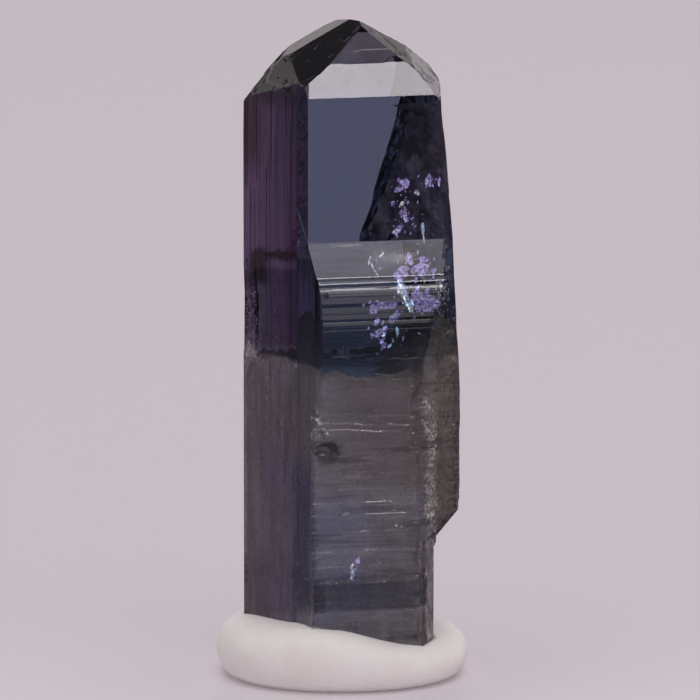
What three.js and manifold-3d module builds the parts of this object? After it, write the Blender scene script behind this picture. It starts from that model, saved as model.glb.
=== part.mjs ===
// A prismatic tanzanite crystal standing in a pressed pad of white putty.
// Millimetres, +Z up. The origin is on the resting surface under the middle of
// the pad. -Y is the front, the side of the crystal's broadest clear face.
import * as THREE from "three";
import { ConvexGeometry } from "three/addons/geometries/ConvexGeometry.js";
import { mergeVertices } from "three/addons/utils/BufferGeometryUtils.js";
import Module from "manifold-3d";

// ---- driving dimensions (mm, degrees) --------------------------------------
const YAW = 11.5; // the broad front face is turned this far towards +X
const FRONT_MID = [1.3, -2.62]; // middle of the upper front face, in plan
const THICK = 6.2; // front face to back face
const BASE_Z = 0.75; // broken foot of the crystal, sunk in the putty
const SHOULDER_Z = 23.84; // where the upper front face ends
const STEP_Z = 18.03; // where the thicker growth on the front ends
// Interfacial angles of zoisite: headings of the long faces from the front face,
// and the rise of each end face's outward normal above level.
const PRISM = 58.2; // side prism faces
const WALL = 72.8; // left wall of the thicker growth
const DOME = 33.5; // bright front end face
const ROOF = 44.2; // upper front end face
const PYRAMID = 56.9; // flat corner faces of the tip
const SHOULDER = 40.8; // steep corner faces of the tip
const CAP = 61; // narrow face along the left side of the tip
const PLATE_LEAN = 13; // lean of the thicker growth's upper right-hand edge
const PUTTY_GAP = 0.3; // clearance of the socket around the foot
// Putty pad: outline radius and rim height every 45 degrees from +X, and the
// section from the middle of the underside, over the rim, to the middle of the top.
const PAD_RADIUS = [5.05, 5.0, 4.75, 5.0, 5.1, 5.05, 4.75, 4.95];
const PAD_RIM = [1.85, 1.95, 2.0, 2.15, 2.4, 2.5, 2.35, 1.7];
const PAD_SECTION = [
  [0, 0],
  [0.88, 0],
  [0.95, 0.09],
  [0.99, 0.27],
  [1, 0.46],
  [0.975, 0.7],
  [0.92, 0.88],
  [0.84, 0.98],
  [0.74, 1],
  [0.4, 0.96],
  [0, 0.93],
];

// ---- helpers ----------------------------------------------------------------
const wasm = await Module();
wasm.setup();
const rad = THREE.MathUtils.degToRad;
const V = (x, y, z) => new THREE.Vector3(x, y, z);

function solid(geometry) {
  const g = geometry.index ? geometry.toNonIndexed() : geometry.clone();
  for (const name of Object.keys(g.attributes))
    if (name !== "position") g.deleteAttribute(name);
  const m = mergeVertices(g, 1e-4);
  return new wasm.Manifold(
    new wasm.Mesh({
      numProp: 3,
      vertProperties: new Float32Array(m.attributes.position.array),
      triVerts: new Uint32Array(m.index.array),
    }),
  );
}

function geometryOf(manifold) {
  const m = manifold.getMesh();
  const p = new Float32Array(m.numVert * 3);
  for (let i = 0; i < m.numVert; i++)
    p.set(m.vertProperties.subarray(i * m.numProp, i * m.numProp + 3), i * 3);
  const g = new THREE.BufferGeometry();
  g.setAttribute("position", new THREE.BufferAttribute(p, 3));
  g.setIndex(new THREE.BufferAttribute(new Uint32Array(m.triVerts), 1));
  return g;
}

// A face by the heading of its outward normal (degrees from the crystal's front
// towards its right), the normal's rise above level, and a point it holds.
function face(heading, rise, point) {
  const a = rad(heading + YAW),
    e = rad(rise);
  const n = V(Math.sin(a) * Math.cos(e), -Math.cos(a) * Math.cos(e), Math.sin(e));
  return new THREE.Plane().setFromNormalAndCoplanarPoint(n, point);
}
// A face through three points, seen counter-clockwise from outside.
function face3(a, b, c) {
  return new THREE.Plane().setFromCoplanarPoints(a, b, c);
}
// Point of the crystal: u along the front face, v inwards from it, z up.
const across = V(Math.cos(rad(YAW)), Math.sin(rad(YAW)), 0);
const inward = V(-Math.sin(rad(YAW)), Math.cos(rad(YAW)), 0);
function at(u, v, z) {
  return V(FRONT_MID[0], FRONT_MID[1], z)
    .addScaledVector(across, u)
    .addScaledVector(inward, v);
}

// The convex solid that lies behind every face.
function polytope(faces) {
  const points = [];
  const n = faces.length;
  for (let i = 0; i < n; i++)
    for (let j = i + 1; j < n; j++)
      for (let k = j + 1; k < n; k++) {
        const a = faces[i].normal,
          b = faces[j].normal,
          c = faces[k].normal;
        const bc = b.clone().cross(c),
          det = a.dot(bc);
        if (Math.abs(det) < 1e-6) continue;
        const p = bc
          .multiplyScalar(-faces[i].constant)
          .add(c.clone().cross(a).multiplyScalar(-faces[j].constant))
          .add(a.clone().cross(b).multiplyScalar(-faces[k].constant))
          .divideScalar(det);
        if (
          faces.every((f) => f.distanceToPoint(p) < 1e-5) &&
          points.every((q) => q.distanceTo(p) > 1e-3)
        )
          points.push(p);
      }
  return solid(new ConvexGeometry(points));
}

// A flat outline in two of the crystal's own directions, drawn out along the third.
function drawnOut(outline, ex, ey, ez, from, length) {
  const shape = new THREE.Shape(outline.map(([x, y]) => new THREE.Vector2(x, y)));
  const g = new THREE.ExtrudeGeometry(shape, {
    depth: length,
    bevelEnabled: false,
    steps: 1,
  });
  g.applyMatrix4(new THREE.Matrix4().makeBasis(ex, ey, ez).setPosition(from));
  return solid(g);
}
const up = V(0, 0, 1);

// ---- the crystal --------------------------------------------------------------
// End faces shared by everything that reaches the tip.
const edge = [0.816, SHOULDER_Z + 1.23]; // inward and up to the edge under the roof
const tip = [
  face(0, DOME, at(0, 0, SHOULDER_Z)),
  face(0, ROOF, at(0, ...edge)),
  face(-PRISM, PYRAMID, at(-1.67, ...edge)),
  face(PRISM, PYRAMID, at(1.39, ...edge)),
  face(-90, CAP, V(-1.02, -0.05, 25.76)),
  face(180 + PRISM, PYRAMID, V(-1.30, 1.13, 25.78)),
  face(180 - PRISM, PYRAMID, V(1.70, 0.00, 25.93)),
  face(180, ROOF, at(0, 3.9, 26.45)),
  face(-WALL, SHOULDER, V(-1.82, -1.75, 24.63)),
  face(180 + WALL, SHOULDER, V(-3.22, -0.07, 24.14)),
  face(WALL, SHOULDER, V(2.62, -0.19, 25.30)),
  face(90 - YAW, 28, V(3.72, 0, 24.18)),
];
const sides = {
  left: face(-PRISM, 0, at(-2.961, 0.796, 0)),
  backLeft: face(180 + PRISM, 0, at(-4.667, 3.547, 0)),
  back: face(180, 0, at(0, THICK, 0)),
  right: face(PRISM, 0, at(1.84, -0.4, 0)),
  end: face(90, 0, at(2.57, 1, 0)),
  backRight: face(180 - PRISM, 0, at(2.57, 5.12, 0)),
  wall: face(-WALL, 0, at(-2.715, 0, 0)),
};
const front = face(0, 0, at(0, 0, 0));
const foot = face(0, -90, at(0, 0, BASE_Z));
// Working limits well outside the crystal.
const ahead = face(0, 0, at(0, -3, 0));
const above = face(0, 90, at(0, 0, 32));

// Main individual, from the foot past the tip.
const main = polytope([
  ahead,
  sides.left,
  sides.backLeft,
  sides.back,
  sides.right,
  sides.end,
  sides.backRight,
  foot,
  above,
]);

// Right-hand individual, grown beside the first and broken off above the foot.
const right = polytope([
  ahead,
  face(-90, 0, at(1.2, 0, 0)),
  face(90 - YAW, 5.0, V(3.94, 0, 23.6)),
  face(90 - YAW, 2.9, V(4.5, 0, 16.2)),
  face(90 - YAW, 0, V(4.72, 0, 10)),
  face(180 - PRISM, 0, at(3.1, 3.1, 0)),
  face(180, 0, at(0, 4.7, 0)),
  face3(V(4.7, 0, 7.1), V(3.82, -3, 6.05), V(3.82, 3, 6.05)),
  face(0, -90, at(0, 0, 5.75)),
  above,
]);

// The wall beside the front face.
const rib = polytope([
  ahead,
  sides.wall,
  face(90, 0, at(0, 0, 0)),
  face(180, 0, at(0, 2, 0)),
  face(0, -90, at(0, 0, BASE_Z + 0.1)),
  above,
]);

// Upper front face and end faces, cut across all of them.
const bounds = polytope([
  front,
  ...tip,
  face(-90, 0, at(-9, 0, 0)),
  face(90, 0, at(9, 0, 0)),
  face(180, 0, at(0, 9, 0)),
  face(0, -90, at(0, 0, -1)),
]);

// The thicker growth on the front, as a side profile of steps: inward and up.
const frontProfile = [
  [0.9, BASE_Z + 0.05],
  [-0.38, BASE_Z + 0.05],
  [-0.4, 3.1],
  [-0.52, 3.2],
  [-0.46, 4.3],
  [-0.34, 4.4],
  [-0.36, 5.5],
  [-0.28, 5.58],
  [-0.33, 7.2],
  [-0.42, 7.28],
  [-0.4, 8.3],
  [-0.5, 9.4],
  [-0.62, 10.6],
  [-0.84, 11.85],
  [-0.95, 12.5],
  [-1.2, 13.2],
  [-1.28, 13.6],
  [-1.25, 14.8],
  [-1.153, 16.08],
  [-0.95, 16.39],
  [-0.95, 16.51],
  [-0.879, 16.62],
  [-0.879, 16.7],
  [0, STEP_Z],
  [0.9, STEP_Z + 1.36],
];
const plateReach = [
  face(-WALL, 0, at(-2.745, 0, 0)),
  face(90, 0, at(2.9, 0, 0)),
  face(0, 0, at(0, -2, 0)),
  face(180, 0, at(0, 2, 0)),
  above,
];
const plate = drawnOut(frontProfile, inward, up, across, at(-7, 0, 0), 12).intersect(
  polytope([...plateReach, face(PRISM, 0, at(1.87, -0.4, 0)), face(0, -90, at(0, 0, BASE_Z - 1))]).add(
    polytope([
      ...plateReach,
      face(PRISM, -PLATE_LEAN, at(2.7, -0.9, 15.6)),
      face(0, -90, at(0, 0, 11.4)),
    ]),
  ),
);

// A break at the back, on the right, from the tip down to a ledge.
const breakTop = at(1.83, THICK, 22.86);
const backBreak = polytope([
  face3(breakTop, at(0.2, THICK, 17.3), at(2.884, THICK - 1.7, 22.86)),
  face(0, -88, at(0, 0, 16.9)),
  face(90, 0, at(9, 0, 0)),
  face(180, 0, at(0, 12, 0)),
  face(0, 90, at(0, 0, 32)),
  face(0, 0, at(0, -9, 0)),
]);

const crystalSolid = main.add(right).add(rib).intersect(bounds).add(plate).subtract(backBreak);

// ---- the putty pad --------------------------------------------------------------
// A value that runs smoothly round the pad, from one given every equal turn.
function round(values, angle) {
  const n = values.length,
    t = ((angle / (2 * Math.PI)) * n + n) % n,
    i = Math.floor(t),
    f = (1 - Math.cos((t - i) * Math.PI)) / 2;
  return values[i % n] * (1 - f) + values[(i + 1) % n] * f;
}
// Turned about the upright axis as a section of unit radius and height, then
// pressed out to the pad's own outline and rim.
const pad = new THREE.LatheGeometry(
  PAD_SECTION.map(([r, h]) => new THREE.Vector2(r, h)),
  48,
);
pad.rotateX(Math.PI / 2);
const p = pad.attributes.position;
for (let i = 0; i < p.count; i++) {
  const x = p.getX(i),
    y = p.getY(i),
    a = Math.atan2(y, x);
  const r = round(PAD_RADIUS, a);
  p.setXYZ(i, x * r, y * r, p.getZ(i) * round(PAD_RIM, a));
}
pad.computeBoundingBox();
const padMid = pad.boundingBox.getCenter(V(0, 0, 0));
pad.translate(-padMid.x, -padMid.y, 0);
// The socket follows the foot of the crystal.
const grow = (f) => f.clone().translate(f.normal.clone().multiplyScalar(PUTTY_GAP));
const rim = face(0, 90, at(0, 0, 6));
const socket = polytope(
  [front, sides.left, sides.backLeft, sides.back, sides.right, sides.end, sides.backRight, foot, rim].map(grow),
).add(
  polytope(
    [
      face(0, 0, at(0, -0.52, 0)),
      face(-WALL, 0, at(-2.745, 0, 0)),
      face(PRISM, 0, at(1.87, -0.4, 0)),
      face(180, 0, at(0, 2, 0)),
      face(0, -90, at(0, 0, BASE_Z + 0.02)),
      face(0, 90, at(0, 0, 5.5)),
    ].map(grow),
  ),
);
const puttySolid = solid(pad).subtract(socket);

// ---- assembly -------------------------------------------------------------------
const crystal = new THREE.Mesh(
  geometryOf(crystalSolid),
  new THREE.MeshStandardMaterial({ color: 0x4d4660, roughness: 0.08, metalness: 0 }),
);
crystal.name = "crystal";
const putty = new THREE.Mesh(
  geometryOf(puttySolid),
  new THREE.MeshStandardMaterial({ color: 0xd9d3cf, roughness: 0.8, metalness: 0 }),
);
putty.name = "putty_base";

const specimen = new THREE.Group();
specimen.add(crystal, putty);
export default specimen;
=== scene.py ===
"""A prismatic tanzanite crystal standing in a pressed pad of white putty.

The shapes are worked out in millimetres, +Z up, and stored in metres. u runs
across the broad front face of the crystal, v runs inward from it and z is
height. Only material is taken away from the crystal's solid, never added.
"""
import math
import bpy
import bmesh
import numpy as np
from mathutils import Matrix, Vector


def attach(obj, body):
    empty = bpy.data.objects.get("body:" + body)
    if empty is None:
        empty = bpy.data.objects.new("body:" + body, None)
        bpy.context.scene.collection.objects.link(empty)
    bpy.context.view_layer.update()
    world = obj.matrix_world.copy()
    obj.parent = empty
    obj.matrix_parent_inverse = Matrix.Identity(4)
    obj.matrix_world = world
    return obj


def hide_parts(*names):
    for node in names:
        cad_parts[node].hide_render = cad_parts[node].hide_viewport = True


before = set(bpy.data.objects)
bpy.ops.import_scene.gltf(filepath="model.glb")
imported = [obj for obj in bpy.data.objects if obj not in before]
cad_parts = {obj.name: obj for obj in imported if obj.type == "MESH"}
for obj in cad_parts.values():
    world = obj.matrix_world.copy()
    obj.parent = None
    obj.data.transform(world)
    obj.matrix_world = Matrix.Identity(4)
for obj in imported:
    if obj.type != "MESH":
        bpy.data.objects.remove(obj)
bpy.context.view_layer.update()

MM = 0.001
YAW = math.radians(11.5)
FRONT = np.array([1.3, -2.62])
PRISM, WALL = 58.2, 72.8
scene = bpy.context.scene


# ---------------------------------------------------------------- geometry kit
def at(u, v, z=0.0):
    """Point(s) of the crystal's own directions, in millimetres."""
    u, v, z = np.broadcast_arrays(np.asarray(u, float), np.asarray(v, float), np.asarray(z, float))
    c, s = math.cos(YAW), math.sin(YAW)
    return np.stack([FRONT[0] + c * u - s * v, FRONT[1] + s * u + c * v, z], -1)


def seen(a, b, v):
    """Point on the plane of depth v that shows at (a, b) of the 700 x 700 view."""
    x = (a - 342.5) * 0.04
    u = (x - 1.3 + 0.1994 * v) / 0.9799
    y = -2.62 + 0.1994 * u + 0.9799 * v
    z = ((672.0 - b) * 0.04 - 0.1908 * y) / 0.9816
    return np.array([x, y, z])


def hashed(i, j, seed):
    i = np.asarray(i, np.int64)
    j = np.asarray(j, np.int64)
    n = ((i * 73856093) ^ (j * 19349663) ^ (seed * 83492791)) & 0x7FFFFFFF
    n = ((n ^ (n >> 13)) * 1274126177) & 0x7FFFFFFF
    n = ((n ^ (n >> 15)) * 668265263) & 0x7FFFFFFF
    return ((n >> 8) & 0xFFFF) / 65535.0


def noise(x, y, seed):
    """Smooth value noise, 0 to 1."""
    x, y = np.broadcast_arrays(np.asarray(x, float), np.asarray(y, float))
    i, j = np.floor(x), np.floor(y)
    fx, fy = x - i, y - j
    fx, fy = fx * fx * (3 - 2 * fx), fy * fy * (3 - 2 * fy)
    a, b = hashed(i, j, seed), hashed(i + 1, j, seed)
    c, d = hashed(i, j + 1, seed), hashed(i + 1, j + 1, seed)
    return (a * (1 - fx) + b * fx) * (1 - fy) + (c * (1 - fx) + d * fx) * fy


def fbm(x, y, seed, octaves=4):
    total, amp, norm = 0.0, 1.0, 0.0
    for k in range(octaves):
        total = total + amp * noise(x * 2 ** k, y * 2 ** k, seed + 17 * k)
        norm += amp
        amp *= 0.5
    return total / norm


def bands(x, seed, lo, hi, tilt, depth, start=-12.0, stop=32.0):
    """Growth bands along x: each one a little deeper or shallower, and a little tilted."""
    rng = np.random.RandomState(seed)
    widths = np.exp(rng.uniform(math.log(lo), math.log(hi), int((stop - start) / lo)))
    edges = start + np.cumsum(widths)
    edges = edges[: np.searchsorted(edges, stop) + 1]
    off = rng.rand(len(edges) + 1) * depth
    lean = rng.randn(len(edges) + 1) * tilt
    k = np.searchsorted(edges, x, side="right")
    mid = np.concatenate([[start], (edges[:-1] + edges[1:]) / 2, [stop]])
    half = np.concatenate([[0.0], (edges[1:] - edges[:-1]) / 2, [0.0]])
    return np.maximum(off[k] + lean[k] * np.clip(x - mid[k], -half[k], half[k]), 0.0)


def step(lo, hi, x):
    t = np.clip((np.asarray(x, float) - lo) / (hi - lo), 0, 1)
    return t * t * (3 - 2 * t)


def mesh_object(name, verts, faces, scale=1.0):
    me = bpy.data.meshes.new(name)
    me.from_pydata((np.asarray(verts, float) * scale).tolist(), [], [tuple(int(i) for i in f) for f in faces])
    me.validate()
    ob = bpy.data.objects.new(name, me)
    scene.collection.objects.link(ob)
    return ob


def outward(ob):
    """Turns all faces of a closed mesh outward."""
    bm = bmesh.new()
    bm.from_mesh(ob.data)
    bmesh.ops.recalc_face_normals(bm, faces=bm.faces)
    if bm.calc_volume(signed=True) < 0:
        bmesh.ops.reverse_faces(bm, faces=bm.faces)
    bm.to_mesh(ob.data)
    bm.free()
    return ob


def slab(name, inner, away, thick=1.5):
    """Closed cutter between a grid of points and the same grid pushed away from the crystal."""
    n, m = inner.shape[:2]
    pts = inner.reshape(-1, 3)
    idx = np.arange(n * m).reshape(n, m)
    quads = np.stack([idx[:-1, :-1], idx[1:, :-1], idx[1:, 1:], idx[:-1, 1:]], -1).reshape(-1, 4)
    tris = np.concatenate([quads[:, [0, 1, 2]], quads[:, [0, 2, 3]]])
    ring = np.concatenate([idx[:, 0], idx[-1, 1:], idx[-2::-1, -1], idx[0, -2:0:-1]])
    far = pts[ring] + np.asarray(away) * thick
    base = len(pts)
    k = len(ring)
    i0 = np.arange(k)
    i1 = (i0 + 1) % k
    sides = np.concatenate([
        np.stack([ring[i0], base + i0, base + i1], -1),
        np.stack([ring[i0], base + i1, ring[i1]], -1)])
    cap = np.stack([base + i0, np.full(k, base + k), base + i1], -1)
    verts = np.concatenate([pts, far, far.mean(0, keepdims=True)])
    return outward(mesh_object(name, verts, np.concatenate([tris, sides, cap])))


def combine(ob, tool, how="DIFFERENCE"):
    mod = ob.modifiers.new("combine", "BOOLEAN")
    mod.operation = how
    mod.solver = "MANIFOLD"
    mod.object = tool
    deps = bpy.context.evaluated_depsgraph_get()
    me = bpy.data.meshes.new_from_object(ob.evaluated_get(deps))
    ob.modifiers.remove(mod)
    if len(me.polygons) < 4:
        raise RuntimeError("nothing left after " + tool.name)
    old = ob.data
    ob.data = me
    bpy.data.meshes.remove(old)
    tm = tool.data
    bpy.data.objects.remove(tool)
    bpy.data.meshes.remove(tm)


def blob(name, centre, radii, seed, rough=0.25, freq=2.2, turn=0.0, detail=3):
    """Lumpy pebble used to chip and dent."""
    bm = bmesh.new()
    bmesh.ops.create_icosphere(bm, subdivisions=detail, radius=1.0)
    c, s = math.cos(turn), math.sin(turn)
    for vert in bm.verts:
        p = np.array(vert.co)
        k = 1 + rough * 2 * (fbm(p[0] * freq + 3.1 * p[2], p[1] * freq - 1.7 * p[2], seed, 3) - 0.5)
        q = p * k * np.asarray(radii)
        q = np.array([c * q[0] - s * q[1], s * q[0] + c * q[1], q[2]])
        vert.co = q + np.asarray(centre)
    me = bpy.data.meshes.new(name)
    bm.to_mesh(me)
    bm.free()
    ob = bpy.data.objects.new(name, me)
    scene.collection.objects.link(ob)
    return ob


def tri_count(ob):
    return sum(len(p.vertices) - 2 for p in ob.data.polygons)


# ---------------------------------------------------------------- the crystal
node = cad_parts["crystal"]
me = node.data.copy()
crystal = bpy.data.objects.new("tanzanite", me)
scene.collection.objects.link(crystal)
bm = bmesh.new()
bm.from_mesh(me)
for vert in bm.verts:
    vert.co = vert.co / MM
bmesh.ops.remove_doubles(bm, verts=bm.verts, dist=2e-4)
bmesh.ops.recalc_face_normals(bm, faces=bm.faces)
bm.to_mesh(me)
bm.free()

PROFILE = np.array([  # depth and height of the terraced front, from the foot up
    [-.38, .5], [-.38, .8], [-.4, 3.1], [-.52, 3.2], [-.46, 4.3], [-.34, 4.4], [-.36, 5.5], [-.28, 5.58], [-.33, 7.2],
    [-.42, 7.28], [-.4, 8.3], [-.5, 9.4], [-.62, 10.6], [-.84, 11.85], [-.95, 12.5], [-1.2, 13.2], [-1.28, 13.6],
    [-1.25, 14.8], [-1.12, 16.08], [-.95, 16.39], [-.95, 16.51], [-.879, 16.62], [-.86, 16.69], [-.765, 16.71], [0, 18.03], [0, 24.2]])


def terrace(z):
    return np.interp(z, PROFILE[:, 1], PROFILE[:, 0])


def plate_edge(z):
    """Right-hand limit of the terraced front, measured across."""
    v = terrace(z)
    low = 1.87 + (v + .4) * .62
    lean = 2.7 + (.513 * (v + .9) + .225 * (z - 15.6)) / .828
    return np.where(z < 11.4, low, np.minimum(lean, 2.9))


def front_depth(u, z):
    """How far the weathering and the growth bands eat into the front."""
    wob = .10 * (noise(u * .7, z * .35, 5) - .5) + .05 * (noise(u * 1.9, z * .8, 6) - .5)
    fine = bands(z + .35 * wob, 11, .045, .22, .09, .030)
    fine2 = bands(z + .25 * wob + 3.3, 12, .05, .30, .10, .030)
    pick = step(.40, .60, noise(u * 1.1 + 2.0, z * .6, 7))
    grey = (fine * pick + fine2 * (1 - pick)) * (.30 + .90 * noise(u * 1.0 + 7.0, z * 1.9, 8))
    wavy = bands(z + 2.2 * wob + .05 * u, 13, .14, .75, .10, .045) * (.25 + .95 * noise(u * 1.2 + 3.0, z * 1.3, 9))
    frost = .022 * fbm(u * 3.1, z * 4.2, 21, 4) + .010 * fbm(u * 9, z * 9, 22, 2)
    blue = bands(z + .15 * wob, 14, .07, .42, .03, .016)
    w_grey = step(9.9, 9.0, z) * (1 - step(4.35, 4.25, z))
    w_frost = step(9.0, 9.9, z) * step(13.9, 13.1, z)
    w_blue = step(13.1, 13.9, z) * step(16.62, 16.55, z)
    w_foot = step(3.12, 3.02, z)
    d = grey * w_grey + (wavy + frost) * w_frost + blue * w_blue
    d = d + w_foot * (.012 * fbm(u * 5, z * 1.2, 31, 3) + .02 * step(.62, .7, fbm(u * 2, z * 3, 32, 2)))
    smooth = 1 - np.clip(w_grey + w_frost + w_blue + w_foot, 0, 1)
    d = d + smooth * .003 * noise(u * .8, z * .9, 33)
    slope = step(16.68, 16.75, z) * step(18.05, 17.98, z)
    d = d + slope * .002
    return d + .006


zs = np.unique(np.round(np.concatenate([
    np.arange(.4, 3.0, .12), np.arange(3.0, 3.3, .05), np.arange(3.3, 4.25, .16), np.arange(4.25, 13.6, .032),
    np.arange(13.6, 16.75, .036), np.arange(16.75, 18.1, .10), np.arange(18.1, 24.6, .45), PROFILE[:, 1]]), 4))
us = np.concatenate([np.arange(-3.25, 1.2, .17), np.arange(1.2, 3.9, .09)])
U, Z = np.meshgrid(us, zs, indexing="ij")
edge = plate_edge(Z) + .10 * (noise(Z * 3.1, U * 0, 41) - .5) + .12 * (noise(Z * 1.1, U * 0, 42) - .5) - .05
on_plate = U < edge
rough = .02 + .09 * fbm(U * 2.3, Z * 1.5, 43, 4) * step(18.6, 17.2, Z) + .004
D = np.where(on_plate | (Z > 18.03), front_depth(U, Z), rough)
base = np.where(on_plate, terrace(Z), 0.0)
edge_wear = np.where(on_plate & (Z < 18.0), .16 * step(.22, 0.0, edge - U) * fbm(U * 4, Z * 3.5, 44, 3), 0.0)
inner = at(U, base + D + edge_wear, Z)
away = np.array([math.sin(YAW), -math.cos(YAW), 0.0])
combine(crystal, slab("cut_front", inner, away, 2.0))


def upright(heading, point, s0, s1, z0, z1, depth, ds=.036, dz=.5, thick=1.0):
    """Cuts striae into an upright face: depth(s, z) in millimetres, s to the right seen from outside."""
    a = math.radians(heading) + YAW
    n = np.array([math.sin(a), -math.cos(a), 0.0])
    t = np.array([math.cos(a), math.sin(a), 0.0])
    S, Z = np.meshgrid(np.arange(s0, s1 + 1e-6, (s1 - s0) / max(2, round((s1 - s0) / ds))),
                       np.arange(z0, z1 + 1e-6, (z1 - z0) / max(2, round((z1 - z0) / dz))), indexing="ij")
    p = point + S[..., None] * t + Z[..., None] * np.array([0, 0, 1.0]) - depth(S, Z)[..., None] * n
    combine(crystal, slab("cut_upright", p, n, thick))


def striae(seed, strength=1.0, lo=.045, hi=.42, rough=0.0, tilt=.085):
    def depth(s, z):
        drift = .05 * (noise(z * .22, s * .8, seed + 1) - .5) + .02 * (noise(z * .9, s * 2, seed + 2) - .5)
        one = bands(s + drift, seed + 3, lo, hi, tilt, .030)
        two = bands(s + drift, seed + 4, lo, hi, tilt, .030)
        pick = step(.45, .55, noise(z * .17, s * .35, seed + 5))
        d = (one * pick + two * (1 - pick)) * strength
        return d + rough * fbm(s * 2.2, z * 1.4, seed + 6, 4) + .006
    return depth


def left_depth(s, z):
    d = striae(100, .45, .08, .9, tilt=.02)(s, z)
    over = 12.95 + .20 * (noise(s * 1.3, s * 0, 111) - .5) + .05 * (noise(s * 7, s * 0, 112) - .5)
    d = d + .045 * step(over - .05, over + .05, z)
    # worn hollow along the outer edge, just above the thicker lower growth
    gnaw = step(-2.35, -2.75, s + .35 * (noise(z * 1.5, s, 113) - .5)) * step(12.9, 13.3, z) * step(16.8, 15.6, z)
    d = d + gnaw * (.035 + .10 * fbm(s * 3.0, z * 2.6, 114, 4))
    d = d + .016 * fbm(s * 3, z * 2.4, 115, 4) * step(13.2, 12.8, z)
    return d


upright(-PRISM, at(-2.961, .796), -3.65, -.07, .3, 25.0, left_depth, dz=.28)
upright(180 + PRISM, at(-4.667, 3.547), -3.5, .35, .3, 25.0, striae(200, .7, .05, .6, tilt=.05))
upright(180, at(0, 6.2), -1.3, 3.6, .3, 25.2, striae(300, .30, .08, 1.1, tilt=.03))
upright(180 - PRISM, at(2.57, 5.12), -.35, 1.7, .3, 25.0, striae(400, .7, tilt=.05))
upright(90, at(2.57, 1.0), 3.08, 4.5, 5.4, 25.0, striae(430, .7, tilt=.05), dz=.35)
upright(180 - PRISM, at(3.1, 3.1), -.35, 1.75, 6.0, 24.6, striae(460, 1.0, rough=.03))
upright(90, at(2.57, 1.0), -.35, 4.5, .3, 5.4, striae(500, .9), dz=.35)
upright(PRISM, at(1.87, -.4), -.35, 1.7, .3, 5.5, lambda s, z: striae(530, .9)(s, z) + .03, dz=.3)

# broad right-hand side of the second growth: three gently leaning faces, worn and striated
ys, zr = np.meshgrid(np.arange(-4.5, 4.2, .045), np.arange(5.9, 25.0, .30), indexing="ij")
xb = np.minimum(np.minimum(4.72, 4.5 - math.tan(math.radians(2.9)) * (zr - 16.2)),
                3.94 - math.tan(math.radians(5.0)) * (zr - 23.6))
dd = striae(560, 1.0, rough=.05)(ys, zr)
dd = dd + .05 * step(.55, .62, fbm(ys * .9, zr * .7, 571, 3)) + .006
combine(crystal, slab("cut_right", np.stack([xb - dd, ys, zr], -1), np.array([1.0, 0, 0]), 1.0))

# rough break behind, upper right
zb, sb = np.meshgrid(np.arange(17.0, 25.4, .11), np.arange(-.6, 3.4, .11), indexing="ij")
nb = np.array([.85, .527, -.25])
hb = .02 + .16 * fbm(zb * .9, sb * .9, 601, 5) + .05 * bands(zb * .8 + sb * .5, 602, .15, .5, .2, .6)
ub = 1.83 + .293 * (zb - 22.86) + .527 * sb - .85 * hb
vb = 6.2 - .85 * sb - .527 * hb
away = at(.85, .527)[:2] - at(0, 0)[:2]
combine(crystal, slab("cut_break", at(ub, vb, zb), np.array([away[0], away[1], -.2]), 2.5))


def tip(heading, rise, point, s0, s1, t0, t1, depth, grid=.06, thick=1.2):
    """Finishes one of the slanted faces of the point: t runs up the slope."""
    a, e = math.radians(heading) + YAW, math.radians(rise)
    n = np.array([math.sin(a) * math.cos(e), -math.cos(a) * math.cos(e), math.sin(e)])
    r = np.array([math.cos(a), math.sin(a), 0.0])
    w = np.array([-math.sin(a) * math.sin(e), math.cos(a) * math.sin(e), math.cos(e)])
    S, T = np.meshgrid(np.linspace(s0, s1, max(3, int((s1 - s0) / grid))),
                       np.linspace(t0, t1, max(3, int((t1 - t0) / grid))), indexing="ij")
    p = point + S[..., None] * r + T[..., None] * w - depth(S, T)[..., None] * n
    combine(crystal, slab("cut_tip", p, n, thick))


def lapped(seed, amount=.010, pits=.0):
    def depth(s, t):
        d = .005 + amount * (.6 * step(.47, .53, noise(s * .8 + 4, t * 2.4, seed)) + .4 * noise(s * .9, t * 1.3, seed + 1))
        return d + pits * step(.60, .74, fbm(s * 2.2, t * 2.2, seed + 2, 3))
    return depth


def dome_depth(s, t):
    d = .005 + .004 * noise(s * .7, t * 1.5, 611)
    d = d + .003 * step(.95, 1.0, t + .02 * s) + .003 * step(1.22, 1.25, t - .03 * s)
    return d


tip(0, 33.5, at(0, 0, 23.84), -3.8, 3.6, -.25, 1.75, dome_depth, .07)
tip(0, 44.2, at(0, .816, 25.07), -3.2, 3.0, -.25, 2.3, lapped(620, .012))
tip(-PRISM, 56.9, at(-1.67, .816, 25.07), -3.5, 2.6, -2.2, 2.0, lapped(630, .012, .012))
tip(PRISM, 56.9, at(1.39, .816, 25.07), -2.2, 3.0, -2.2, 2.0, lapped(640, .015, .02))
tip(180 + PRISM, 56.9, np.array([-1.30, 1.13, 25.78]), -3.0, 3.0, -2.4, 1.6, lapped(650, .02, .03))
tip(180 - PRISM, 56.9, np.array([1.70, 0, 25.93]), -3.0, 3.0, -2.6, 1.6, lapped(660, .02, .03))
tip(180, 44.2, at(0, 3.9, 26.45), -2.6, 2.6, -3.2, .6, lapped(670, .015, .02))
tip(-WALL, 40.8, np.array([-1.82, -1.75, 24.63]), -2.2, 2.2, -1.6, 1.4, lapped(680, .03, .06))
tip(180 + WALL, 40.8, np.array([-3.22, -.07, 24.14]), -2.2, 2.2, -1.6, 1.4, lapped(690, .03, .06))
tip(WALL, 40.8, np.array([2.62, -.19, 25.30]), -2.4, 2.4, -2.0, 1.2, lapped(700, .02, .03))

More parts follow.
